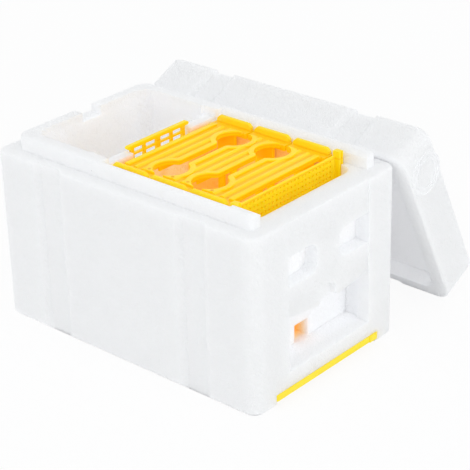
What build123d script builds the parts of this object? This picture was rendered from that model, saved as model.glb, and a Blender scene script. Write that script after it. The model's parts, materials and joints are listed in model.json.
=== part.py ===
from build123d import *
from math import acos, asin, atan2, cos, degrees, sin, sqrt
import os

os.makedirs("parts", exist_ok=True)

# A queen mating box of expanded foam, in millimetres. The origin is the middle of the
# base on the ground: +X towards the entrance, +Y towards the side where the lid leans.

# Foam box
box_length = 260.0
box_width = 166.0
ledge_height = 141.5
corner_round = 11.0
base_chamfer = 3.0
ledge_round = 2.5
cut_over = 1.0  # how far every cut runs past the face that it opens

# Lip inside the lid's rim, open towards the entrance
lip_height = 11.9
lip_inset = 12.0
lip_corner_round = 10.0
lip_end_round = 3.5
lip_edge_round = 2.6
lip_notch_width = 20.0
lip_notch_depth = 7.5
lip_slope_width = 7.5
lip_slope_depth = 5.0
lip_slope_start = -28.0
lip_slope_end = 33.0  # from the front face
lip_front_slope_width = 4.5
lip_front_slope_depth = 3.0

# Grooves for the strap on both long sides
strap_spacing = 144.0
strap_groove_width = 30.0
strap_floor_width = 19.0
strap_depth = 3.0

# Feeder
feeder_wall = 23.0
feeder_width = 121.0
feeder_round = 11.0
feeder_floor = 20.0
feeder_floor_chamfer = 6.0
partition_thickness = 8.0
partition_drop = 6.6

# Bee chamber
wall_seat = 121.0
chamber_length = 121.3
chamber_side_gap = 2.0
chamber_round = 8.0
shelf_height = 141.0
plate_inset = 39.7  # from the front face

# Vent space behind the front wall
front_wall = 21.0
vent_floor = 95.0
vent_width = 113.0
vent_round = 11.0

# Front face
panel_width = 94.0
panel_place = 1.5
panel_depth = 1.5
panel_bottom = 23.0
grip_height = 24.0
grip_depth = 13.0
grip_inner = 12.8
grip_bottom = 90.3
grip_round = 8.5
entrance_side_height = 43.5
entrance_middle_height = 38.5
entrance_depth = 24.0
entrance_skin = 11.0
entrance_widening = 3.0
notch_radius = 9.5
notch_depth = 7.0
notch_drop = 4.5
lobe_round = 3.5
tunnel_place = -2.7
tunnel_width = 16.0
tunnel_height = 14.5

# Sliding floor and its channel
floor_overlap = 6.0  # past the partition's feeder face
floor_width = 120.0
floor_bottom = 4.6
floor_height = 5.4
floor_skin = 2.2
floor_rim = 2.4
floor_front_length = 3.0
floor_rib_thickness = 1.6
floor_rib_count = 4
floor_rib_clearance = 12.0
floor_tab_width = 9.0
floor_tab_reach = 0.8
floor_tab_place = 54.5
floor_corner_round = 2.0
floor_tab_round = 0.6
channel_clearance = 0.4
rail_width = 6.0
rail_stop = 12.0

# Top bars
bar_count = 3
bar_pitch = 38.2
bar_row_inset = 60.3  # the middle bar, from the perforated plate
bar_length = 119.4
bar_end_width = 36.2
bar_waist_width = 29.6
bar_end_depth = 9.5
bar_seat_gap = 0.3
bar_skin = 2.2
bar_height = 4.6
rib_height = 1.6
rib_width = 5.2
rib_crest_share = 0.3
rib_shoulder_share = 0.68  # of the height, where the rib is at its shoulder width
rib_pitch = 8.2
rib_count = 2
rib_end_gap = 1.4
rim_width = 4.2
end_plate_width = 34.2
end_plate_height = 10.0
end_plate_thickness = 3.2
end_plate_round = 1.2
end_plate_corner = 3.0
cell_hole_radius = 14.0
cell_hole_place = 35.0
cell_corner_round = 4.0
skirt_thickness = 1.8
wax_groove_width = 3.0
wax_rib_thickness = 1.4
wax_rib_height = 5.0
wax_rib_length = 62.0

# Comb frames under the top bars
frame_width = 18.0
frame_outer_width = 100.0
frame_taper = 3.0
frame_wall = 2.4
frame_bottom = 20.0
frame_round = 9.0
window_width = 6.0
window_height = 30.0
window_pitch = 42.0
window_count = 2

# Excluder grille
grille_width = 59.6
grille_thickness = 2.4
grille_bottom = 92.6
grille_fit = 0.3
grille_groove = 2.6
grille_inset = 2.8  # its middle, from the partition's feeder face
rail_rise = 1.6
rail_height = 2.8
grille_rail_width = 67.0
grille_rail_thickness = 3.8
grille_slot_height = 4.2
grille_bar_height = 1.5
grille_slot_rows = 9
grille_post_width = 4.4
grille_thin_post = 2.2
grille_thin_post_place = 15.0
grille_end_post = 3.2

# Perforated plate between the frames and the vent space, with a post at each end
plate_thickness = 2.0
plate_width = 120.2
plate_fit = 0.3
plate_top = 147.4
post_depth = 6.5
post_width = 5.0
post_rise = 4.2
post_groove_width = 1.4
post_groove_depth = 1.0
post_round = 1.2
vent_hole_radius = 1.05
vent_hole_pitch = 4.15
vent_columns = 25
vent_rows = 5
vent_first_row_drop = 2.9

# Lid, and how it leans on the far ledge
lid_end_wall = 12.9
lid_side_wall = 9.5
lid_fit = 0.4
lid_height = 37.5
lid_rim_depth = 13.5
lid_corner_round = 13.0
lid_top_chamfer = 3.0
lid_rim_chamfer = 1.0
lid_shift = 4.7
lid_foot_gap = 67.4  # from the far side of the box to the lid's foot
lid_gap = 0.3
ring_place = 50.0
ring_inner_radius = 13.0
ring_outer_radius = 17.5
ring_thickness = 1.4
ring_relief = 0.8
ring_sides = 18

# Shared places worked out from the sizes above
half_length = box_length / 2
half_width = box_width / 2
lip_top = ledge_height + lip_height
lip_length = box_length - 2 * lip_inset
lip_width = box_width - 2 * lip_inset
plate_face = half_length - plate_inset
partition_inner = plate_face - chamber_length
partition_face = partition_inner - partition_thickness
feeder_end = feeder_wall - half_length
vent_end = half_length - front_wall
chamber_width = frame_outer_width + 2 * chamber_side_gap
frame_bottom_width = frame_outer_width - 2 * frame_taper
partition_top = lip_top - partition_drop
front_face = half_length - panel_depth
recess_back = half_length - entrance_depth
recess_floor = panel_bottom
channel_top = floor_bottom + floor_height + channel_clearance
channel_bottom = floor_bottom - channel_clearance
floor_reach = partition_face - floor_overlap
channel_end = floor_reach - channel_clearance
channel_width = floor_width + 2 * channel_clearance
grille_middle = partition_face + grille_inset
bar_bottom = shelf_height + bar_seat_gap
bar_top = bar_bottom + bar_height
bar_places = [
    plate_face - bar_row_inset + (index - (bar_count - 1) / 2) * bar_pitch for index in range(bar_count)
]


def strap_grooves(side_width, low, high):
    """Both strap grooves of one long side: tapered slots from low to high."""
    with BuildPart() as grooves:
        with BuildSketch(Plane.XY.offset(low)):
            for place in (-strap_spacing / 2, strap_spacing / 2):
                with Locations((place, side_width / 2)):
                    Trapezoid(
                        strap_floor_width + 2 * groove_flare(),
                        2 * strap_depth,
                        degrees(atan2(2 * strap_depth, groove_flare())),
                        rotation=180,
                    )
        extrude(amount=high - low)
    return grooves.part


def groove_flare():
    """How much wider than its floor each flank of a strap groove is, twice as deep as it is cut."""
    return strap_groove_width - strap_floor_width


# The hollows of the foam box, each a solid to cut away

with BuildPart() as feeder_space:
    with BuildSketch(Plane.XY.offset(feeder_floor)):
        with Locations(((feeder_end + partition_face) / 2, 0)):
            RectangleRounded(partition_face - feeder_end, feeder_width, feeder_round)
    extrude(amount=lip_top + cut_over - feeder_floor)
    chamfer(feeder_space.faces().sort_by(Axis.Z)[0].edges(), feeder_floor_chamfer)

with BuildPart() as chamber_space:
    chamber_end = plate_face + cut_over
    chamber_middle = (partition_inner + chamber_end) / 2
    with BuildSketch(Plane.XY.offset(channel_top - cut_over)):
        with Locations((chamber_middle, 0)):
            RectangleRounded(chamber_end - partition_inner, chamber_width, chamber_round)
    extrude(amount=lip_top + cut_over - channel_top + cut_over)
    with BuildSketch(Plane.XY.offset(shelf_height)):
        with Locations((chamber_middle, 0)):
            Rectangle(chamber_end - partition_inner, wall_seat)
    extrude(amount=lip_height + ledge_height - shelf_height + cut_over)
    with BuildSketch(Plane.XY.offset(partition_top)):
        with Locations(((partition_face + partition_inner) / 2, 0)):
            Rectangle(2 * partition_thickness, feeder_width)
    extrude(amount=partition_drop + cut_over)

with BuildPart() as vent_space:
    vent_start = plate_face + plate_thickness
    with BuildSketch(Plane.XY.offset(vent_floor)) as vent_outline:
        with Locations(((vent_start + vent_end) / 2, 0)):
            Rectangle(vent_end - vent_start, vent_width)
        fillet(vent_outline.vertices().group_by(Axis.X)[-1], vent_round)
    extrude(amount=ledge_height + cut_over - vent_floor)
    with BuildSketch(Plane.XY.offset(vent_floor)):
        with Locations((plate_face + post_depth / 2, 0)):
            Rectangle(post_depth + 2 * plate_fit, plate_width + 2 * plate_fit)
    extrude(amount=plate_top + cut_over - vent_floor)
    with BuildSketch(Plane.XY.offset(ledge_height)):
        with Locations(((plate_face + half_length) / 2 + cut_over, 0)):
            Rectangle(half_length - plate_face + 2 * cut_over, wall_seat)
    extrude(amount=lip_height + cut_over)

with BuildPart() as entrance_space:
    side = panel_width / 2
    middle_edge = recess_floor + entrance_middle_height
    side_edge = recess_floor + entrance_side_height
    with BuildSketch(Plane.YZ.offset(recess_back)):
        with Locations((panel_place, (recess_floor + middle_edge) / 2)):
            Rectangle(panel_width + 2 * entrance_widening, entrance_middle_height)
    extrude(amount=entrance_depth - entrance_skin)
    with BuildSketch(Plane.YZ.offset(half_length - entrance_skin - cut_over)):
        with BuildLine():
            Polyline(
                (panel_place - side, recess_floor),
                (panel_place - side, side_edge),
                (panel_place - notch_radius, middle_edge),
                (panel_place + notch_radius, middle_edge),
                (panel_place + side, side_edge),
                (panel_place + side, recess_floor),
                close=True,
            )
        make_face()
    extrude(amount=entrance_skin + 2 * cut_over)
    with BuildSketch(Plane.YZ.offset(half_length - notch_depth)) as notch_outline:
        with Locations((panel_place, middle_edge + notch_drop)):
            Circle(notch_radius)
        with Locations((panel_place, middle_edge)):
            Rectangle(2 * notch_radius, 2 * notch_drop)
        with Locations((panel_place, middle_edge - notch_radius / 2)):
            Rectangle(2 * (notch_radius + lobe_round), notch_radius)
        lobe_corners = [
            corner
            for corner in notch_outline.vertices()
            if abs(abs(corner.X - panel_place) - notch_radius) < cut_over and corner.Y < middle_edge + cut_over
        ]
        fillet(lobe_corners, lobe_round)
    extrude(amount=notch_depth + cut_over)
    with BuildSketch(Plane.YZ.offset(plate_face - cut_over)):
        with Locations((tunnel_place, recess_floor + tunnel_height / 2)):
            Rectangle(tunnel_width, tunnel_height)
    extrude(amount=recess_back - plate_face + 2 * cut_over)

with BuildPart() as grip_spaces:
    grip_end = panel_width / 2 + grip_round
    with BuildSketch(Plane.YZ.offset(half_length - grip_depth)) as grip_outline:
        for grip_side in (-1, 1):
            grip_middle = grip_side * (grip_inner + grip_end) / 2
            with Locations((panel_place + grip_middle, grip_bottom + grip_height / 2)):
                RectangleRounded(grip_end - grip_inner, grip_height, grip_round)
        with Locations((panel_place, grip_bottom + grip_height / 2)):
            Rectangle(panel_width, grip_height, mode=Mode.INTERSECT)
    extrude(amount=grip_depth + cut_over)

with BuildPart() as channel_space:
    with BuildSketch(Plane.XY.offset(channel_bottom)):
        with Locations(((channel_end + half_length + cut_over) / 2, 0)):
            Rectangle(half_length + cut_over - channel_end, channel_width)
    extrude(amount=channel_top - channel_bottom)
    with BuildSketch(Plane.XY.offset(-cut_over)):
        with Locations(((channel_end + half_length + cut_over) / 2, 0)):
            Rectangle(half_length + cut_over - channel_end, channel_width - 2 * rail_width)
        with Locations((half_length - (rail_stop - cut_over) / 2, 0)):
            Rectangle(rail_stop + cut_over, channel_width)
    extrude(amount=channel_bottom + 2 * cut_over)

# Foam box with its lip

with BuildPart() as body:
    with BuildSketch():
        RectangleRounded(box_length, box_width, corner_round)
    extrude(amount=ledge_height)
    chamfer(body.faces().sort_by(Axis.Z)[0].edges(), base_chamfer)
    fillet(body.faces().sort_by(Axis.Z)[-1].edges(), ledge_round)
    with BuildSketch(Plane.XY.offset(ledge_height)) as lip_outline:
        Rectangle(lip_length, lip_width)
        fillet(lip_outline.vertices().group_by(Axis.X)[0], lip_corner_round)
        fillet(lip_outline.vertices().group_by(Axis.X)[-1], lip_end_round)
    extrude(amount=lip_height)
    fillet(body.faces().sort_by(Axis.Z)[-1].edges(), lip_edge_round)
    add(feeder_space.part, mode=Mode.SUBTRACT)
    add(chamber_space.part, mode=Mode.SUBTRACT)
    add(vent_space.part, mode=Mode.SUBTRACT)

    # Lip notch at the feeder end
    with BuildSketch(Plane.XY.offset(lip_top - lip_notch_depth)):
        with Locations(((feeder_end - lip_length / 2) / 2, 0)):
            Rectangle(lip_length / 2 + feeder_end + 2 * cut_over, lip_notch_width)
    extrude(amount=lip_notch_depth + cut_over, mode=Mode.SUBTRACT)

    # Sloped inner edges of the lip: deep along the frames, shallow beside the plate
    slope_foot = wall_seat / 2
    slope_end = half_length - lip_slope_end
    for slope_start, slope_stop, slope_width, slope_depth in (
        (lip_slope_start, slope_end, lip_slope_width, lip_slope_depth),
        (slope_end, half_length, lip_front_slope_width, lip_front_slope_depth),
    ):
        with BuildSketch(Plane.YZ.offset(slope_start)):
            with BuildLine():
                Polyline(
                    (slope_foot - cut_over, lip_top - slope_depth),
                    (slope_foot, lip_top - slope_depth),
                    (slope_foot + slope_width, lip_top),
                    (slope_foot + slope_width, lip_top + cut_over),
                    (slope_foot - cut_over, lip_top + cut_over),
                    close=True,
                )
            make_face()
            mirror(about=Plane.YZ)
        extrude(amount=slope_stop - slope_start, mode=Mode.SUBTRACT)

    # Opening in the partition, with the grooves that hold the grille
    with BuildSketch(Plane.XY.offset(grille_bottom - grille_fit)):
        with Locations((grille_middle, 0)):
            Rectangle(
                partition_thickness + 2 * cut_over,
                grille_width + 2 * grille_fit - 2 * grille_groove,
            )
            Rectangle(grille_thickness + 2 * grille_fit, grille_width + 2 * grille_fit)
    extrude(amount=partition_top + cut_over - grille_bottom + grille_fit, mode=Mode.SUBTRACT)

    # Front face: sunk panel, grips and entrance
    with BuildSketch(Plane.YZ.offset(front_face)):
        with Locations((panel_place, (panel_bottom + ledge_height + cut_over) / 2)):
            Rectangle(panel_width, ledge_height + cut_over - panel_bottom)
    extrude(amount=panel_depth + cut_over, mode=Mode.SUBTRACT)
    add(grip_spaces.part, mode=Mode.SUBTRACT)
    add(entrance_space.part, mode=Mode.SUBTRACT)

    # Channel of the sliding floor, and the strap grooves
    add(channel_space.part, mode=Mode.SUBTRACT)
    side_grooves = strap_grooves(box_width, -cut_over, ledge_height + cut_over)
    add(side_grooves, mode=Mode.SUBTRACT)
    add(side_grooves.mirror(Plane.XZ), mode=Mode.SUBTRACT)
body.part.label = "body"
export_step(body.part, "parts/body.step")

# Sliding floor: a tray turned over, with ribs below and a tab at its front strip

with BuildPart() as floor_slider:
    floor_middle = (floor_reach + half_length) / 2
    floor_length = half_length - floor_reach
    with BuildSketch(Plane.XY.offset(floor_bottom)):
        with Locations((floor_middle, 0)):
            RectangleRounded(floor_length, floor_width, floor_corner_round)
    extrude(amount=floor_height)
    with BuildSketch(Plane.XY.offset(floor_bottom)):
        with Locations((floor_middle, 0)):
            Rectangle(floor_length - 2 * floor_rim, floor_width - 2 * floor_rim)
    extrude(amount=floor_height - floor_skin, mode=Mode.SUBTRACT)
    with BuildSketch(Plane.XY.offset(floor_bottom)):
        with Locations((floor_middle, 0)):
            rib_spacing = (floor_width - 2 * floor_rib_clearance) / (floor_rib_count - 1)
            with GridLocations(0, rib_spacing, 1, floor_rib_count):
                Rectangle(floor_length - floor_rim, floor_rib_thickness)
    extrude(amount=floor_height - floor_skin / 2)
    with BuildSketch(Plane.XY.offset(floor_bottom)) as tab_outline:
        with Locations((half_length + floor_tab_reach / 2 - floor_front_length / 2, floor_tab_place)):
            Rectangle(floor_front_length + floor_tab_reach, floor_tab_width)
        fillet(tab_outline.vertices().group_by(Axis.X)[-1], floor_tab_round)
    extrude(amount=floor_height)
floor_slider.part.label = "floor_slider"
export_step(floor_slider.part, "parts/floor_slider.step")

# Top bars: ribbed plates with raised ends, and holes for queen cells between them

for bar_index, bar_place in enumerate(bar_places):
    with BuildPart() as top_bar:
        hole_sides = [
            side
            for side in (-1, 1)
            if 0 <= bar_index + side < bar_count
        ]
        with BuildSketch(Plane.XY.offset(bar_bottom)) as bar_outline:
            with Locations((bar_place, 0)):
                Rectangle(bar_waist_width, bar_length)
                for end_side in (-1, 1):
                    with Locations((0, end_side * (bar_length - bar_end_depth) / 2)):
                        Rectangle(bar_end_width, bar_end_depth)
            for hole_side in hole_sides:
                for end_side in (-1, 1):
                    with Locations((bar_place + hole_side * bar_pitch / 2, end_side * cell_hole_place)):
                        Circle(cell_hole_radius, mode=Mode.SUBTRACT)
            inner_corners = [
                corner
                for corner in bar_outline.vertices()
                if abs(corner.Y) < cell_hole_place and abs(corner.X - bar_place) > rib_pitch
            ]
            fillet(inner_corners, cell_corner_round)
        extrude(amount=bar_height)

        # Thin between its end blocks, which are hollow below
        with BuildSketch(Plane.XY.offset(bar_bottom)):
            with Locations((bar_place, 0)):
                Rectangle(2 * bar_end_width, bar_length - 2 * bar_end_depth)
                with GridLocations(0, bar_length - bar_end_depth, 1, 2):
                    Rectangle(bar_end_width - 2 * skirt_thickness, bar_end_depth - 2 * skirt_thickness)
        extrude(amount=bar_height - bar_skin, mode=Mode.SUBTRACT)
        with BuildSketch(Plane.XY.offset(bar_top - bar_skin / 2)):
            with Locations((bar_place, 0)):
                with GridLocations(wax_groove_width + wax_rib_thickness, 0, 2, 1):
                    Rectangle(wax_rib_thickness, wax_rib_length)
        extrude(amount=-(bar_skin / 2 + wax_rib_height))

        # Raised rim that follows the edge of the bar and its cell holes
        rib_length = bar_length - 2 * (bar_end_depth + rib_end_gap)
        with BuildSketch(Plane.XY.offset(bar_top)):
            add(bar_outline.sketch_local)
            offset(bar_outline.sketch_local, amount=-rim_width, mode=Mode.SUBTRACT)
            with Locations((bar_place, 0)):
                Rectangle(2 * bar_end_width, rib_length, mode=Mode.INTERSECT)
        extrude(amount=rib_height)

        # Ribs along the bar inside the rim
        with BuildPart(mode=Mode.PRIVATE) as ribs:
            with BuildSketch(mode=Mode.PRIVATE) as rib_profile:
                with BuildLine():
                    half_rib = rib_width / 2
                    crest = half_rib * rib_crest_share
                    shoulder = (half_rib + crest) / 2
                    shoulder_height = rib_height * rib_shoulder_share
                    Polyline(
                        (-half_rib, -bar_skin / 2),
                        (-half_rib, 0),
                        (-shoulder, shoulder_height),
                        (-crest, rib_height),
                        (crest, rib_height),
                        (shoulder, shoulder_height),
                        (half_rib, 0),
                        (half_rib, -bar_skin / 2),
                        close=True,
                    )
                make_face()
            with BuildSketch(Plane.XZ.offset(-rib_length / 2)):
                with Locations((bar_place, bar_top)):
                    with GridLocations(rib_pitch, 0, rib_count, 1):
                        add(rib_profile.sketch_local)
            extrude(amount=rib_length)
            with BuildSketch(Plane.XY.offset(bar_bottom)):
                add(bar_outline.sketch_local)
            extrude(amount=bar_height + rib_height, mode=Mode.INTERSECT)
        add(ribs.part)

        # Raised end plates, round along the top, with their upper corners cut off
        with BuildPart(mode=Mode.PRIVATE) as end_plates:
            with BuildSketch(Plane.YZ.offset(bar_place - end_plate_width / 2)) as plate_outline:
                plate_place = (bar_length - end_plate_thickness) / 2
                with Locations((-plate_place, bar_bottom + end_plate_height / 2)):
                    Rectangle(end_plate_thickness, end_plate_height)
                with Locations((plate_place, bar_bottom + end_plate_height / 2)):
                    Rectangle(end_plate_thickness, end_plate_height)
                fillet(plate_outline.vertices().group_by(Axis.Y)[-1], end_plate_round)
            extrude(amount=end_plate_width)
            with BuildSketch(Plane.XZ.offset(-bar_length)) as corner_outline:
                with Locations((bar_place, bar_bottom + end_plate_height / 2)):
                    Rectangle(end_plate_width, end_plate_height)
                chamfer(corner_outline.vertices().group_by(Axis.Y)[-1], end_plate_corner)
            extrude(amount=2 * bar_length, mode=Mode.INTERSECT)
        add(end_plates.part)
    top_bar.part.label = f"top_bar_{bar_index + 1}"
    export_step(top_bar.part, f"parts/top_bar_{bar_index + 1}.step")

    # Comb frame: a tapered U that clips up under its bar
    with BuildPart() as comb_frame:
        frame_top = bar_top - bar_skin
        with BuildSketch(Plane.YZ.offset(bar_place - frame_width / 2)) as frame_outline:
            with BuildLine():
                Polyline(
                    (-frame_outer_width / 2, frame_top),
                    (-frame_bottom_width / 2, frame_bottom),
                    (frame_bottom_width / 2, frame_bottom),
                    (frame_outer_width / 2, frame_top),
                    close=True,
                )
            make_face()
            fillet(frame_outline.vertices().group_by(Axis.Y)[0], frame_round)
            with BuildSketch(mode=Mode.PRIVATE) as frame_space:
                inner_top = frame_outer_width / 2 - frame_wall
                inner_bottom = frame_bottom_width / 2 - frame_wall
                with BuildLine():
                    Polyline(
                        (-inner_top, frame_top + cut_over),
                        (-inner_top, frame_top),
                        (-inner_bottom, frame_bottom + frame_wall),
                        (inner_bottom, frame_bottom + frame_wall),
                        (inner_top, frame_top),
                        (inner_top, frame_top + cut_over),
                        close=True,
                    )
                make_face()
                fillet(frame_space.vertices().group_by(Axis.Y)[0], frame_round - frame_wall)
            add(frame_space.sketch_local, mode=Mode.SUBTRACT)
        extrude(amount=frame_width)
        with BuildSketch(Plane.XZ.offset(-frame_outer_width / 2 - cut_over)):
            with Locations((bar_place, (frame_bottom + frame_top) / 2)):
                with GridLocations(0, window_pitch, 1, window_count):
                    Rectangle(window_width, window_height)
        extrude(amount=frame_outer_width + 2 * cut_over, mode=Mode.SUBTRACT)
    comb_frame.part.label = f"comb_frame_{bar_index + 1}"
    export_step(comb_frame.part, f"parts/comb_frame_{bar_index + 1}.step")

# Excluder grille: slots that pass worker bees but not a queen, under a round-ended rail

with BuildPart() as excluder_grille:
    slot_pitch = grille_slot_height + grille_bar_height
    slot_field = grille_slot_rows * slot_pitch - grille_bar_height
    rail_bottom = partition_top + rail_rise
    with BuildSketch(Plane.YZ.offset(grille_middle - grille_thickness / 2)):
        with Locations((0, (grille_bottom + rail_bottom) / 2)):
            Rectangle(grille_width, rail_bottom - grille_bottom)
        outer_slot_width = grille_width / 2 - grille_end_post - grille_thin_post_place - grille_thin_post / 2
        inner_slot_width = grille_thin_post_place - grille_thin_post / 2 - grille_post_width / 2
        outer_slot_place = grille_width / 2 - grille_end_post - outer_slot_width / 2
        inner_slot_place = (grille_post_width + inner_slot_width) / 2
        for slot_side in (-1, 1):
            for slot_place, slot_width in (
                (outer_slot_place, outer_slot_width),
                (inner_slot_place, inner_slot_width),
            ):
                with Locations((slot_side * slot_place, rail_bottom - slot_field / 2)):
                    with GridLocations(0, slot_pitch, 1, grille_slot_rows):
                        Rectangle(slot_width, grille_slot_height, mode=Mode.SUBTRACT)
    extrude(amount=grille_thickness)
    with BuildSketch(Plane.YZ.offset(grille_middle - grille_rail_thickness / 2)):
        with Locations((0, rail_bottom + rail_height / 2)):
            SlotOverall(grille_rail_width, rail_height)
    extrude(amount=grille_rail_thickness)
excluder_grille.part.label = "excluder_grille"
export_step(excluder_grille.part, "parts/excluder_grille.step")

# Perforated plate with a grooved post at each end

with BuildPart() as vent_plate:
    plate_bottom = vent_floor + plate_fit
    with BuildSketch(Plane.YZ.offset(plate_face)):
        with Locations((0, (plate_bottom + plate_top) / 2)):
            Rectangle(plate_width, plate_top - plate_bottom)
        hole_field_middle = plate_top - vent_first_row_drop - (vent_rows - 1) * vent_hole_pitch / 2
        with Locations((0, hole_field_middle)):
            with GridLocations(vent_hole_pitch, vent_hole_pitch, vent_columns, vent_rows):
                RegularPolygon(vent_hole_radius, 6, mode=Mode.SUBTRACT)
    extrude(amount=plate_thickness)
    with BuildSketch(Plane.XY.offset(plate_bottom)) as post_outline:
        for post_side in (-1, 1):
            with Locations((plate_face + post_depth / 2, post_side * (plate_width - post_width) / 2)):
                Rectangle(post_depth, post_width)
        fillet(post_outline.vertices().group_by(Axis.X)[-1], post_round)
        for post_side in (-1, 1):
            with Locations((plate_face + post_depth, post_side * (plate_width - post_width) / 2)):
                Rectangle(2 * post_groove_depth, post_groove_width, mode=Mode.SUBTRACT)
    extrude(amount=plate_top + post_rise - plate_bottom)
vent_plate.part.label = "vent_plate"
export_step(vent_plate.part, "parts/vent_plate.step")

# Lid: its rim fits round the lip. It leans with one rim edge on the ground, and the tilt
# follows from where it stands: against the round of the far ledge, or flat on the wall
# when the ledge is higher than the lid is wide

lid_length = lip_length + 2 * (lid_fit + lid_end_wall)
lid_width = lip_width + 2 * (lid_fit + lid_side_wall)
lid_foot_place = half_width + lid_foot_gap
prop_y = half_width - ledge_round
prop_z = ledge_height - ledge_round
reach = sqrt((lid_foot_place - prop_y) ** 2 + prop_z**2)
if reach < lid_width - lid_rim_chamfer:
    tilt = atan2(prop_z, lid_foot_place - prop_y) + asin((ledge_round + lid_gap) / reach)
else:
    tilt = acos((lid_foot_gap - lid_gap) / (lid_width - lid_rim_chamfer))
lid_origin = (
    lid_shift,
    lid_foot_place - lid_width / 2 * cos(tilt),
    lid_width / 2 * sin(tilt) - lid_rim_chamfer * min(sin(tilt), cos(tilt)),
)
lid_plane = Plane(origin=lid_origin, x_dir=(1, 0, 0), z_dir=(0, sin(tilt), cos(tilt)))

with BuildPart() as lid_form:
    with BuildSketch():
        RectangleRounded(lid_length, lid_width, lid_corner_round)
    extrude(amount=lid_height)
    chamfer(lid_form.faces().sort_by(Axis.Z)[-1].edges(), lid_top_chamfer)
    chamfer(lid_form.faces().sort_by(Axis.Z)[0].edges(), lid_rim_chamfer)
    with BuildSketch(Plane.XY.offset(-cut_over)):
        RectangleRounded(
            lid_length - 2 * lid_end_wall,
            lid_width - 2 * lid_side_wall,
            lip_corner_round,
        )
    extrude(amount=lid_rim_depth + cut_over, mode=Mode.SUBTRACT)
    lid_grooves = strap_grooves(lid_width, -cut_over, lid_height + cut_over)
    add(lid_grooves, mode=Mode.SUBTRACT)
    add(lid_grooves.mirror(Plane.XZ), mode=Mode.SUBTRACT)
    with BuildSketch(Plane.XY.offset(lid_height - strap_depth)):
        with Locations((-strap_spacing / 2, 0), (strap_spacing / 2, 0)):
            Rectangle(strap_floor_width, lid_width)
    extrude(amount=strap_depth + cut_over, mode=Mode.SUBTRACT)
    for ring_radius in (ring_inner_radius, ring_outer_radius):
        with BuildSketch(Plane.YZ.offset(lid_length / 2 - ring_relief)):
            with Locations((-ring_place, lid_height / 2)):
                RegularPolygon(ring_radius, ring_sides)
                RegularPolygon(ring_radius - ring_thickness, ring_sides, mode=Mode.SUBTRACT)
        extrude(amount=2 * ring_relief)
lid = lid_plane.location * lid_form.part
lid.label = "lid"
export_step(lid, "parts/lid.step")
print("lid tilt", round(degrees(tilt), 2), "lid size", lid_length, lid_width)
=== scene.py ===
import json
from math import radians

import bpy
from mathutils import Matrix, Vector


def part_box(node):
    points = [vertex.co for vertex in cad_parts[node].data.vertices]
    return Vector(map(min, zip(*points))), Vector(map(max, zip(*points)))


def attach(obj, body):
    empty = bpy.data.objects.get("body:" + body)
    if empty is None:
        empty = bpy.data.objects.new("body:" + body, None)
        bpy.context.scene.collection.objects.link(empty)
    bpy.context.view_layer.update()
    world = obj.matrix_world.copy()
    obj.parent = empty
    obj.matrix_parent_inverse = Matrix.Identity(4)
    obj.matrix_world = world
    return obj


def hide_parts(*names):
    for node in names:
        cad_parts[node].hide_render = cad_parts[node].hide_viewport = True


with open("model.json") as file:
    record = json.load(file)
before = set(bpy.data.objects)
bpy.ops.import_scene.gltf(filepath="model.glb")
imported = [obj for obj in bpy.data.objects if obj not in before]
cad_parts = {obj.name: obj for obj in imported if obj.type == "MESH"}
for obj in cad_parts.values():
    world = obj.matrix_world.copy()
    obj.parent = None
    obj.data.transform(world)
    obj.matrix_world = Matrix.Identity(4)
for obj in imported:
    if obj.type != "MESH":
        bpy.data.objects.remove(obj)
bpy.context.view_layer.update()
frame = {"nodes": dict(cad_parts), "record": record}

# The photograph's camera, in metres, from the box's own edges
camera_place = Vector((0.78323, -0.83569, 0.63834))
camera_right = Vector((0.754936, 0.655368, -0.023766))
camera_down = Vector((0.273484, -0.347558, -0.896889))
camera_forward = Vector((-0.596052, 0.670594, -0.441617))
focal_pixels = 1657.0
picture_pixels = 470.0
sensor_width = 36.0
camera_reach = 50.0

# Colours, as linear light
foam_white = (0.985, 0.987, 0.992, 1)
foam_shade = (0.93, 0.935, 0.95, 1)
speck_grey = (0.55, 0.54, 0.53, 1)
# Painted light: the yellow that light through and off the plastic casts on the chamber's walls
chamber_painted_yellow = (1.0, 0.69, 0.26, 1)
bar_yellow = (1.0, 0.76, 0.003, 1)
bar_deep_yellow = (1.0, 0.7, 0.002, 1)
# Painted shade: the deeper orange of the valleys between a top bar's ribs, and of the pin marks
bar_painted_shade_orange = (1.0, 0.53, 0.002, 1)
floor_yellow = (1.0, 0.8, 0.04, 1)
floor_deep_yellow = (1.0, 0.74, 0.03, 1)
# Painted shade: the darker middle of the pin marks
pin_mark_painted_shade_brown = (0.75, 0.38, 0.002, 1)
ground_white = (0.97, 0.97, 0.97, 1)
sky_white = (0.97, 0.985, 1.0, 1)
pure_white = (1, 1, 1, 1)

# Weak glows that stand for light which comes through the foam and the plastic
open_glow = (0.045, 0.046, 0.048, 1)
hollow_glow = (0.085, 0.091, 0.098, 1)
feeder_glow = (0.104, 0.111, 0.128, 1)
pocket_glow = (0.118, 0.121, 0.13, 1)
lid_hollow_glow = (0.15, 0.15, 0.155, 1)
chamber_glow = (0.15, 0.09, 0.025, 1)
bar_glow = (1.0, 0.5, 0.0, 1)
floor_glow = (1.0, 0.72, 0.03, 1)
plastic_glow_strength = 0.105

# How far light wanders inside the materials, in metres
foam_glow_reach = 0.005
plastic_glow_reach = 0.003

# How near the walls of a hollow are to each other, and how many ways they are looked for
hollow_reach = 0.025
hollow_samples = 8

# Soft boxes: on each axis, where the low side fades in and where the high side fades out.
# The bee chamber, whose walls get painted light: a yellow tint and an orange glow that stand for
# light through and off the yellow plastic
chamber_edges = {
    "X": ((-0.036, -0.032), (0.093, 0.1065)),
    "Y": ((-0.059, -0.053), (0.053, 0.059)),
    "Z": ((0.004, 0.012), (0.141, 0.146)),
}

# The feeder's trough, where the foam around lets light in
feeder_edges = {
    "X": ((-0.115, -0.109), (-0.039, -0.036)),
    "Y": ((-0.067, -0.062), (0.062, 0.067)),
    "Z": ((0.012, 0.018), (0.146, 0.152)),
}

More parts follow.
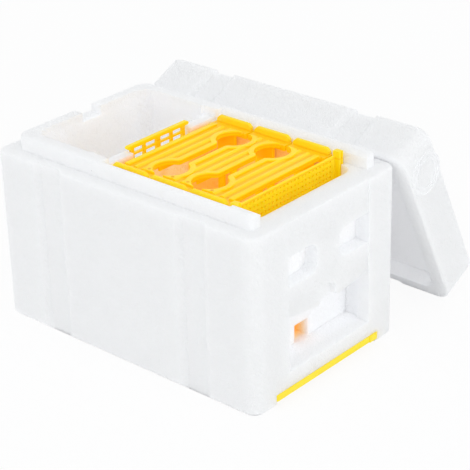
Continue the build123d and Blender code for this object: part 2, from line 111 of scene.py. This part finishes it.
# The backs of the pockets in the front face, which such light reaches too
pocket_edges = {
    "X": ((0.1055, 0.1058), (0.1175, 0.1205)),
    "Y": ((-0.052, -0.049), (0.049, 0.052)),
    "Z": ((0.018, 0.023), (0.118, 0.122)),
}

# The way that the leaning lid's hollow faces, and how far along it the hollow's floor and rim lie
lid_opening = (0.0, -0.9013, -0.4332)
lid_hollow_depth = (-0.146, -0.139)

# The way that the hollow's lower wall faces, and where along it the lid's outside begins
lid_wall_facing = (0.0, -0.4332, 0.9013)
lid_wall_reach = (-0.03, 0.03)

# How squarely a face has to look in one of these directions, 1 being square, to glow at all
# and to glow fully
square_enough = (0.9, 0.98)

# Cells on the foam, by how many go into a metre
bead_scale = 330.0
speck_scale = 60.0

# Parts of a cell: a seam as it shades and as it slopes, a speck's edge, and which cells have one
seam_width = (0.0, 0.09)
seam_slope = (0.0, 0.16)
speck_edge = (0.025, 0.05)
speck_choice = (0.8, 0.84)
speck_cover = 0.5

# Clouds on the foam, by how many go into a metre and how fine they are. The wobble bends the
# beads' seams, by so many metres at most
wobble_clouds = (260.0, 2.0)
wobble_reach = (0.0016, 0.0016, 0.0016)
shade_clouds = (18.0, 3.0)
pit_clouds = (1400.0, 2.0)

# Shares of the patterns in the foam's shade and in its height
seam_shade = 0.45
bead_shade = 0.35
cloud_shade = 0.3
seam_rise = 0.6
bead_rise = 0.25
pit_rise = 0.15
speck_drop = 1.5
foam_bump = 0.6
foam_bump_height = 0.0005

# Clouds on the plastic in the same way, with a twist for the scuffs: its flow, grain and scuffs
flow_clouds = (30.0, 4.0)
flow_edge = (0.3, 0.75)
grain_clouds = (1900.0, 2.0)
scuff_clouds = (120.0, 6.0, 1.5)
scuff_edge = (0.52, 0.7)
grain_rise = 0.7
scuff_rise = 0.3
plastic_bump = 0.2
plastic_bump_height = 0.0001

# Roughness and shine of each finish, and how much rougher the patterns make it
foam_roughness = 0.5
bar_roughness = 0.36
floor_roughness = 0.4
mark_roughness = 0.5
ground_roughness = 0.9
bead_roughness = 0.2
scuff_roughness = 0.12
grain_roughness = 0.05
foam_shine = 0.3
plastic_shine = 0.38
ground_shine = 0.1

# The valleys between a top bar's ribs, which painted shade turns deeper and more orange: from the
# plate's height to just under the ribs' tops
bar_plate_height = 0.1459
bar_rib_height = 0.1475
valley_floor = (bar_plate_height - 0.0006, bar_plate_height - 0.0002)
valley_top = (bar_plate_height, bar_rib_height - 0.0004)
valley_painted_shade = 0.7

# The two round marks that the mould's pins leave at the near end of each top bar, darkened with
# painted shade, in metres, and the height over the bar from which its top is searched for
pin_mark_radius = 0.0013
pin_mark_rise = 0.00005
pin_mark_depth = 0.0002
pin_mark_sides = 32
pin_mark_places = (-0.0074, 0.0074)
pin_mark_inset = 0.0137
search_height = 0.01

# The part of the partition that is cut away under the grille's rail, low and high corner
grille_seat_box = ((-0.0400, -0.0318, 0.1394), (-0.0300, 0.0318, 0.1600))

# Radii of the moulded edges, in metres, how they are rounded, and how near two points are one
foam_edge = 0.0012
bar_edge = 0.0006
frame_edge = 0.0004
hole_edge = 0.00025
edge_segments = 2
sharp_edge = radians(24)
smooth_edge = radians(40)
same_place = 0.00001

# The ground's side in metres, how much of it the camera sees as plain white, and the sky's light
ground_size = 12
ground_brightening = 0.9
sky_strength = 0.85

# Each soft lamp: its name, its place, the point it aims at, its side in metres, its power in watts
studio_lamps = (
    ("front_light", (1.7, 0.1, 0.6), (0, 0, 0.08), 1.0, 3.2),
    ("near_light", (-0.3, -1.7, 0.2), (0, 0, 0.06), 1.0, 2.7),
    ("high_light", (0.3, -0.9, 1.6), (0, 0, 0.08), 1.2, 0.9),
)

# The light that the thin yellow plastic lets through into the bee chamber
chamber_light_drop = 0.012
chamber_light_size = 0.085
chamber_light_power = 0.03
chamber_light_colour = (1.0, 0.55, 0.2)


class Value:
    """One output of a node, on which ordinary sums add Math nodes."""

    def __init__(self, recipe, socket):
        self.recipe = recipe
        self.socket = socket

    def work(self, operation, other):
        return self.recipe.add("ShaderNodeMath", {"operation": operation}, [self, other])

    def __add__(self, other):
        return self.work("ADD", other)

    def __radd__(self, other):
        return self.work("ADD", other)

    def __sub__(self, other):
        return self.work("SUBTRACT", other)

    def __rsub__(self, other):
        return self.recipe.add("ShaderNodeMath", {"operation": "SUBTRACT"}, [other, self])

    def __mul__(self, other):
        return self.work("MULTIPLY", other)

    def __rmul__(self, other):
        return self.work("MULTIPLY", other)

    def between(self, low, high):
        """0 below low, 1 above high, smooth in between."""
        values = {"Value": self, "From Min": low, "From Max": high}
        return self.recipe.add("ShaderNodeMapRange", {"interpolation_type": "SMOOTHSTEP"}, values)


class Recipe:
    """The node tree of one material, or of the world."""

    def __init__(self, owner):
        owner.use_nodes = True
        self.owner = owner
        self.tree = owner.node_tree

    def add(self, kind, settings=None, values=(), output=0):
        """A new node with its settings and the values or links of its sockets."""
        node = self.tree.nodes.new(kind)
        for name, setting in (settings or {}).items():
            setattr(node, name, setting)
        pairs = values.items() if isinstance(values, dict) else enumerate(values)
        for name, value in pairs:
            self.put(node.inputs[name], value)
        return Value(self, node.outputs[output])

    def put(self, socket, value):
        """Link a value to a socket, or set a plain number or colour on it."""
        if isinstance(value, Value):
            self.tree.links.new(value.socket, socket)
        else:
            socket.default_value = value

    def fill(self, node, **values):
        """Fill sockets of a node that the tree has from the start."""
        for name, value in values.items():
            self.put(self.tree.nodes[node].inputs[name.replace("_", " ")], value)

    def finish(self, **values):
        """Fill the shader's sockets and give back the material."""
        self.fill("Principled BSDF", **values)
        return self.owner

    def blend(self, amount, first, second):
        """A colour between two colours, by the numbers of the Mix node's colour sockets."""
        values = {0: amount, 6: first, 7: second}
        return self.add("ShaderNodeMix", {"data_type": "RGBA"}, values, output=2)

    def noise(self, place, scale, detail, twist=0.0, output=0):
        """Soft clouds all through the piece."""
        values = {"Vector": place, "Scale": scale, "Detail": detail, "Distortion": twist}
        return self.add("ShaderNodeTexNoise", {}, values, output)

    def cells(self, place, scale, output, feature="F1"):
        """Cells that fit together like pressed beads."""
        values = {"Vector": place, "Scale": scale}
        return self.add("ShaderNodeTexVoronoi", {"feature": feature}, values, output)

    def bump(self, height, strength, distance):
        values = {"Strength": strength, "Distance": distance, "Height": height}
        return self.add("ShaderNodeBump", {}, values)

    def place(self):
        return self.add("ShaderNodeTexCoord", output="Object")

    def facing(self):
        return self.add("ShaderNodeTexCoord", output="Normal")

    def axis(self, place, name):
        return self.add("ShaderNodeSeparateXYZ", {}, [place], output=name)

    def along(self, vector, direction):
        """How far a vector reaches in a direction."""
        values = [vector, direction]
        return self.add("ShaderNodeVectorMath", {"operation": "DOT_PRODUCT"}, values, "Value")

    def within(self, place, edges):
        """1 inside a box with soft sides, 0 outside it."""
        inside = 1
        for name, (low, high) in edges.items():
            along = self.axis(place, name)
            inside = along.between(*low) * (1 - along.between(*high)) * inside
        return inside

    def lid_face(self, place, facing, direction, reach):
        """1 on the faces that look in a direction and lie short of a reach along it."""
        square = self.along(facing, direction).between(*square_enough)
        return square * (1 - self.along(place, direction).between(*reach))

    def background_rays(self):
        """1 for rays that see a white background: the camera's and those of gloss and glass."""
        seen = self.add("ShaderNodeLightPath", output="Is Camera Ray")
        for kind in ("Is Glossy Ray", "Is Transmission Ray"):
            seen = seen.work("MAXIMUM", self.add("ShaderNodeLightPath", output=kind))
        return seen

    def turn_white(self, seen, shader, light, output):
        """Mix plain white light into a shader, by the share of rays that see it."""
        kept = Value(self, self.tree.nodes[shader].outputs[0])
        white = self.add(light, {}, {"Color": pure_white, "Strength": 1.0})
        mixed = self.add("ShaderNodeMixShader", {}, [seen, kept, white])
        self.fill(output, Surface=mixed)


def foam_material():
    """Moulded bead foam: pressed beads with fine seams, a few grey specks and tiny pits, with
    painted light: a yellow tint and glow in the bee chamber and weak glows in the hollows.
    """
    recipe = Recipe(bpy.data.materials.new("bead_foam"))
    place = recipe.place()
    wobble = recipe.noise(place, *wobble_clouds, output="Color")
    shifting = [wobble, wobble_reach, place]
    shifted = recipe.add("ShaderNodeVectorMath", {"operation": "MULTIPLY_ADD"}, shifting)
    seams = recipe.cells(shifted, bead_scale, "Distance", "DISTANCE_TO_EDGE")
    tone = recipe.add("ShaderNodeSeparateColor", {}, [recipe.cells(shifted, bead_scale, "Color")])
    clouds = recipe.noise(place, *shade_clouds)
    pits = recipe.noise(place, *pit_clouds)
    speck_centre = recipe.cells(place, speck_scale, "Distance")
    speck_kind = recipe.cells(place, speck_scale, "Color")
    chosen = recipe.add("ShaderNodeSeparateColor", {}, [speck_kind]).between(*speck_choice)
    specks = (1 - speck_centre.between(*speck_edge)) * chosen
    seam_depth = 1 - seams.between(*seam_width)
    shade = seam_shade * seam_depth + bead_shade * tone + cloud_shade * clouds
    white = recipe.blend(shade, foam_white, foam_shade)
    white = recipe.blend(speck_cover * specks, white, speck_grey)
    # Painted light on the chamber's walls: a yellow tint and an orange glow for light through and
    # off the plastic
    chamber = recipe.within(place, chamber_edges)
    openness = recipe.add(
        "ShaderNodeAmbientOcclusion",
        {"samples": hollow_samples, "only_local": True},
        {"Distance": hollow_reach},
        "AO",
    )
    glow = recipe.blend(openness, hollow_glow, open_glow)
    glow = recipe.blend(recipe.within(place, feeder_edges), glow, feeder_glow)
    glow = recipe.blend(recipe.within(place, pocket_edges), glow, pocket_glow)
    facing = recipe.facing()
    lid_hollow = recipe.lid_face(place, facing, lid_opening, lid_hollow_depth)
    lid_wall = recipe.lid_face(place, facing, lid_wall_facing, lid_wall_reach)
    glow = recipe.blend(lid_hollow + lid_wall, glow, lid_hollow_glow)
    beads = seam_rise * seams.between(*seam_slope) + bead_rise * tone
    height = beads + pit_rise * pits - speck_drop * specks
    return recipe.finish(
        Base_Color=recipe.blend(chamber, white, chamber_painted_yellow),
        Roughness=foam_roughness + bead_roughness * tone,
        Specular_IOR_Level=foam_shine,
        Subsurface_Weight=1.0,
        Subsurface_Radius=(1.0, 1.0, 1.0),
        Subsurface_Scale=foam_glow_reach,
        Emission_Color=recipe.blend(chamber, glow, chamber_glow),
        Emission_Strength=1.0,
        Normal=recipe.bump(height, foam_bump, foam_bump_height),
    )


def plastic_material(name, light, deep, glow, roughness):
    """Moulded plastic: fine flow clouds, a satin grain, faint scuffs and painted shade that
    deepens the valleys between ribs.
    """
    recipe = Recipe(bpy.data.materials.new(name))
    place = recipe.place()
    flow = recipe.noise(place, *flow_clouds)
    grain = recipe.noise(place, *grain_clouds)
    scuffs = recipe.noise(place, *scuff_clouds)
    worn = scuffs.between(*scuff_edge)
    height = recipe.axis(place, "Z")
    # Painted shade: deeper orange in the valleys between a top bar's ribs
    valley = height.between(*valley_floor) * (1 - height.between(*valley_top))
    plain = recipe.blend(flow.between(*flow_edge), light, deep)
    satin = grain_rise * grain + scuff_rise * scuffs
    return recipe.finish(
        Base_Color=recipe.blend(valley_painted_shade * valley, plain, bar_painted_shade_orange),
        Roughness=roughness + scuff_roughness * worn + grain_roughness * grain,
        Specular_IOR_Level=plastic_shine,
        Subsurface_Weight=0.4,
        Subsurface_Radius=(1.0, 1.0, 0.4),
        Subsurface_Scale=plastic_glow_reach,
        Emission_Color=glow,
        Emission_Strength=plastic_glow_strength,
        Normal=recipe.bump(satin, plastic_bump, plastic_bump_height),
    )


materials = {
    "foam": foam_material(),
    "yellow_plastic": plastic_material(
        "yellow_polypropylene", bar_yellow, bar_deep_yellow, bar_glow, bar_roughness
    ),
    "floor_plastic": plastic_material(
        "pale_yellow_polypropylene", floor_yellow, floor_deep_yellow, floor_glow, floor_roughness
    ),
    # Pin marks, darkened with painted shade
    "pin_mark": plastic_material(
        "pin_mark_painted_shade", bar_painted_shade_orange, pin_mark_painted_shade_brown, bar_glow, mark_roughness
    ),
}
slot_of = {part["node"]: part["material_slot"] for part in frame["record"]["subparts"]}
body_of = {
    node: body
    for body, nodes in frame["record"]["behaviour"]["bodies"].items()
    for node in nodes
}
for name, slot in slot_of.items():
    node = frame["nodes"][name]
    node.data.materials.clear()
    node.data.materials.append(materials[slot])


def only(piece):
    """Select one object alone."""
    bpy.ops.object.select_all(action="DESELECT")
    piece.select_set(True)
    bpy.context.view_layer.objects.active = piece


def cut_grille_seat(body):
    """Cut the partition down under the grille, which stands clear of the foam between its ends."""
    low, high = (Vector(corner) for corner in grille_seat_box)
    bpy.ops.object.select_all(action="DESELECT")
    bpy.ops.mesh.primitive_cube_add(size=1, location=(low + high) / 2, scale=high - low)
    cutter = bpy.context.object
    cut = body.modifiers.new("grille_seat", "BOOLEAN")
    cut.operation = "DIFFERENCE"
    cut.solver = "EXACT"
    cut.object = cutter
    only(body)
    bpy.ops.object.modifier_apply(modifier=cut.name)
    only(cutter)
    bpy.ops.object.delete()
    only(body)


def rounded(name, width):
    """The node's shape with its sharp edges rounded, as a mould leaves them."""
    only(frame["nodes"][name])
    bpy.ops.object.duplicate()
    piece = bpy.context.object
    piece.name = f"{name}_moulded"
    bpy.ops.object.mode_set(mode="EDIT")
    bpy.ops.mesh.select_all(action="SELECT")
    bpy.ops.mesh.remove_doubles(threshold=same_place)
    bpy.ops.mesh.tris_convert_to_quads()
    bpy.ops.object.mode_set(mode="OBJECT")
    if name == "body":
        cut_grille_seat(piece)
    bevel = piece.modifiers.new("moulded_edges", "BEVEL")
    bevel.width = width
    bevel.segments = edge_segments
    bevel.limit_method = "ANGLE"
    bevel.angle_limit = sharp_edge
    bevel.miter_outer = "MITER_ARC"
    bpy.ops.object.modifier_apply(modifier=bevel.name)
    bpy.ops.object.shade_smooth_by_angle(angle=smooth_edge)
    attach(piece, body_of[name])
    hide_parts(name)
    return piece


def pin_marks(name, bar):
    """Two small discs of deeper yellow let into the top of the bar near its end: painted shade for
    the shallow dimples that the mould's pins leave.
    """
    low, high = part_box(name)
    marks = []
    for place in pin_mark_places:
        x = (low[0] + high[0]) / 2 + place
        y = low[1] + pin_mark_inset
        above = Vector((x, y, high[2] + search_height))
        top = bar.ray_cast(above, Vector((0, 0, -1)))[1].z
        bpy.ops.mesh.primitive_cylinder_add(
            vertices=pin_mark_sides,
            radius=pin_mark_radius,
            depth=pin_mark_depth,
            location=(x, y, top - pin_mark_rise),
        )
        marks.append(bpy.context.object)
    only(marks[0])
    marks[1].select_set(True)
    bpy.ops.object.join()
    pair = bpy.context.object
    pair.name = f"{name}_pin_marks"
    bpy.ops.object.transform_apply(location=True)
    pair.data.materials.append(materials["pin_mark"])
    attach(pair, body_of[name])


for name in slot_of:
    if name.startswith("top_bar"):
        pin_marks(name, rounded(name, bar_edge))
    elif name == "vent_plate":
        rounded(name, hole_edge)
    elif slot_of[name] == "foam":
        rounded(name, foam_edge)
    else:
        rounded(name, frame_edge)


def ground_material():
    """A plain pale surface that keeps its shadows and is lighter to the camera."""
    recipe = Recipe(bpy.data.materials.new("pale_ground"))
    seen = ground_brightening * recipe.background_rays()
    recipe.turn_white(seen, "Principled BSDF", "ShaderNodeEmission", "Material Output")
    return recipe.finish(
        Base_Color=ground_white, Roughness=ground_roughness, Specular_IOR_Level=ground_shine
    )


bpy.ops.object.select_all(action="DESELECT")
bpy.ops.mesh.primitive_plane_add(size=ground_size, location=(0, 0, 0))
ground = bpy.context.object
ground.name = "ground"
ground.data.materials.append(ground_material())

# A pale world, which the same rays see as white
world = bpy.data.worlds.new("studio")
bpy.context.scene.world = world
sky = Recipe(world)
sky.fill("Background", Color=sky_white, Strength=sky_strength)
sky.turn_white(sky.background_rays(), "Background", "ShaderNodeBackground", "World Output")


def lamp(name, place, aim, size, power):
    """A square soft light that points at aim."""
    data = bpy.data.lights.new(name, "AREA")
    data.shape = "SQUARE"
    data.size = size
    data.energy = power
    light = bpy.data.objects.new(name, data)
    bpy.context.collection.objects.link(light)
    light.location = place
    light.rotation_euler = (Vector(aim) - Vector(place)).to_track_quat("-Z", "Y").to_euler()
    return light


for settings in studio_lamps:
    lamp(*settings)

low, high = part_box("top_bar_2")
below_bars = (Vector(low) + Vector(high)) / 2 - Vector((0, 0, chamber_light_drop))
straight_down = below_bars - Vector((0, 0, 1))
inner_light = lamp(
    "chamber_glow", below_bars, straight_down, chamber_light_size, chamber_light_power
)
inner_light.data.color = chamber_light_colour
inner_light.visible_camera = False

camera_data = bpy.data.cameras.new("photo_camera")
camera_data.sensor_fit = "HORIZONTAL"
camera_data.sensor_width = sensor_width
camera_data.lens = focal_pixels / picture_pixels * sensor_width
camera_data.clip_end = camera_reach
camera = bpy.data.objects.new("photo_camera", camera_data)
bpy.context.collection.objects.link(camera)
turn = Matrix((camera_right, -camera_down, -camera_forward)).transposed()
camera.matrix_world = Matrix.Translation(camera_place) @ turn.to_4x4()
bpy.context.scene.camera = camera
bpy.context.scene.view_settings.view_transform = "Standard"
